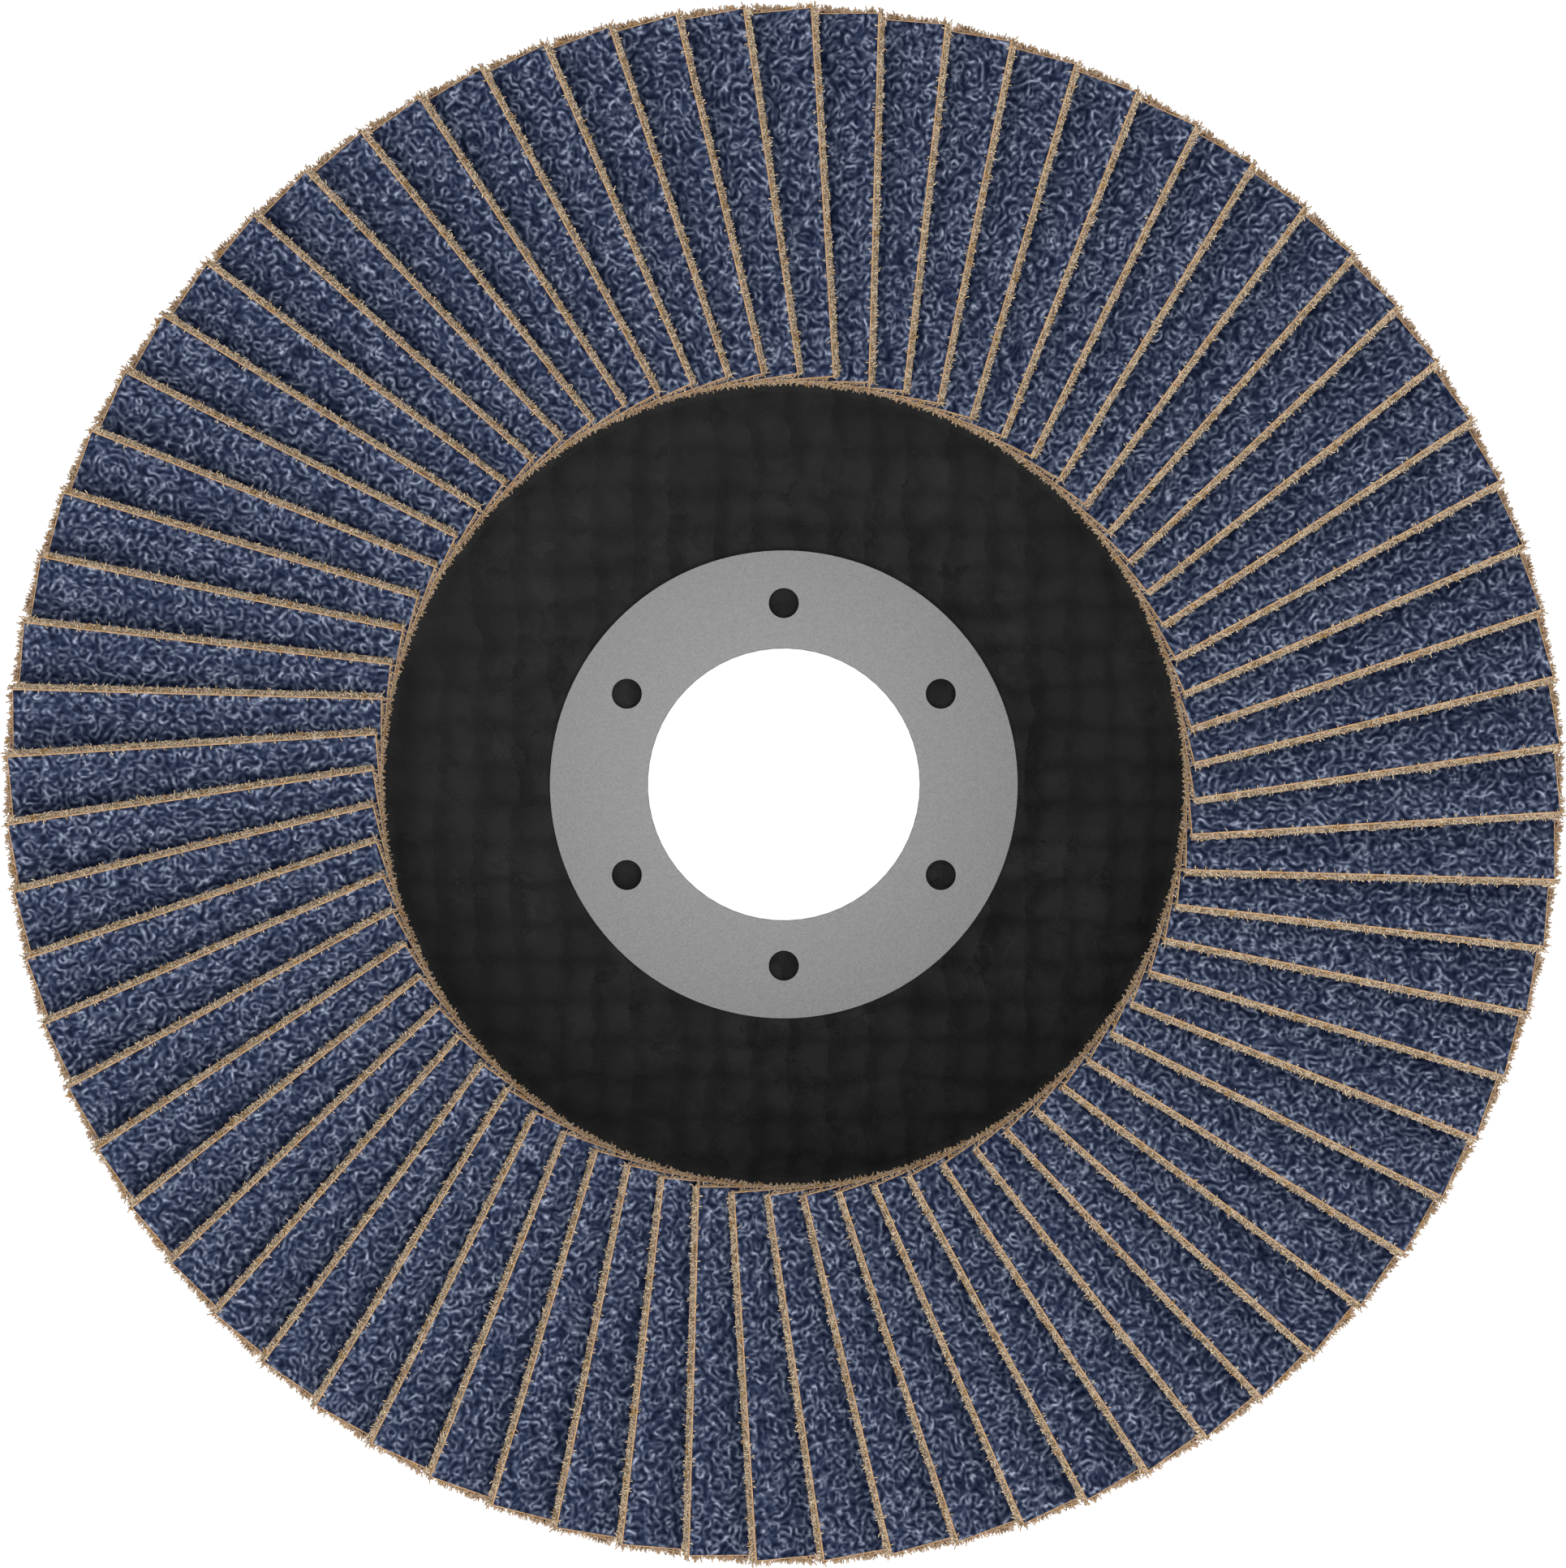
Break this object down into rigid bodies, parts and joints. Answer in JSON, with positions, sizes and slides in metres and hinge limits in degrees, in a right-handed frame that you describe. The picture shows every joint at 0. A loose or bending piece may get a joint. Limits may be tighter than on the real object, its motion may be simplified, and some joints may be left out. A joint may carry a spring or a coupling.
{
  "type": "flap disc",
  "caption": "Round abrasive flap disc for an angle grinder: overlapping blue grit cloth flaps on a black backing plate with a depressed centre, a steel ring and a central bore.",
  "frame": {"origin": "on the axis of the bore, at the flat back face of the hub, which is the disc's lowest face", "axes": "+Z along the bore from the back of the hub towards the abrasive side; +X and +Y lie in the back face, with +Y up in the picture"},
  "size_m": [0.1256, 0.1256, 0.0157],
  "materials": {
    "backing_plate": "matte black glass fibre and resin, pressed, with a faint woven scrim under the surface",
    "centre_ring": "fine-grained grey steel sheet",
    "resin": "dark cured resin bead",
    "flap_cloth": "grey-blue ridged abrasive grit on tan woven cloth with frayed cut edges"
  },
  "bodies": {
    "root": {"backing_plate": "backing_plate", "centre_ring": "centre_ring", "adhesive_bed": "resin", "flap_pair_01": "flap_cloth", "flap_pair_02": "flap_cloth", "flap_pair_03": "flap_cloth", "flap_pair_04": "flap_cloth", "flap_pair_05": "flap_cloth", "flap_pair_06": "flap_cloth", "flap_pair_07": "flap_cloth", "flap_pair_08": "flap_cloth", "flap_pair_09": "flap_cloth", "flap_pair_10": "flap_cloth", "flap_pair_11": "flap_cloth", "flap_pair_12": "flap_cloth", "flap_pair_13": "flap_cloth", "flap_pair_14": "flap_cloth", "flap_pair_15": "flap_cloth", "flap_pair_16": "flap_cloth", "flap_pair_17": "flap_cloth", "flap_pair_18": "flap_cloth", "flap_pair_19": "flap_cloth", "flap_pair_20": "flap_cloth", "flap_pair_21": "flap_cloth", "flap_pair_22": "flap_cloth", "flap_pair_23": "flap_cloth", "flap_pair_24": "flap_cloth", "flap_pair_25": "flap_cloth", "flap_pair_26": "flap_cloth", "flap_pair_27": "flap_cloth", "flap_pair_28": "flap_cloth", "flap_pair_29": "flap_cloth", "flap_pair_30": "flap_cloth", "flap_pair_31": "flap_cloth", "flap_pair_32": "flap_cloth", "flap_pair_33": "flap_cloth", "flap_pair_34": "flap_cloth", "flap_pair_35": "flap_cloth", "flap_pair_36": "flap_cloth"}
  },
  "joints": []
}
